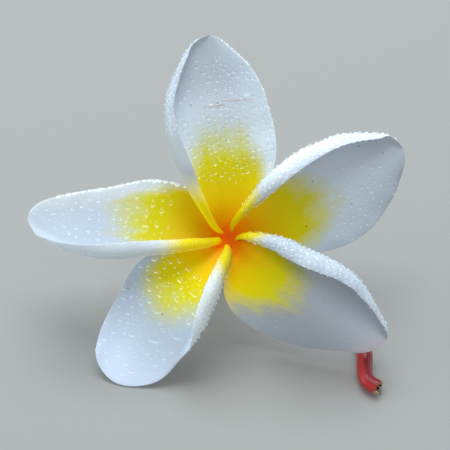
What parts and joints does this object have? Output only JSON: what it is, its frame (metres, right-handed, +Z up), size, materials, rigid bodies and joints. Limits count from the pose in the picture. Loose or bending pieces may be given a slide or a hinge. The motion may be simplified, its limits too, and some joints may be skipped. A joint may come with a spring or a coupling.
{
  "type": "frangipani flower",
  "caption": "Fallen frangipani blossom: overlapping white petals with yellow hearts and rolled margins, on a slender tube and a curved red stalk, leaning on the surface it lies on.",
  "frame": {"origin": "on the surface the blossom lies on, under the middle of its box", "axes": "+Z up, +X to the right of a viewer who faces the blossom, the blossom faces -Y and leans back"},
  "size_m": [0.0806, 0.0588, 0.0506],
  "materials": {
    "petal": "soft waxy petal, white with a streaky yellow heart and an orange throat",
    "tube": "smooth pale yellow flesh",
    "calyx": "smooth reddish green flesh",
    "stalk": "wet red skin with paler pink stripes",
    "pith": "torn pale pith with a dark hollow",
    "water": "clear rain drops"
  },
  "bodies": {
    "root": {"petal_top": "petal", "petal_left": "petal", "petal_lower_left": "petal", "petal_lower_right": "petal", "petal_right": "petal", "corolla_tube": "tube", "calyx": "calyx", "flower_stalk": "stalk"}
  },
  "joints": []
}
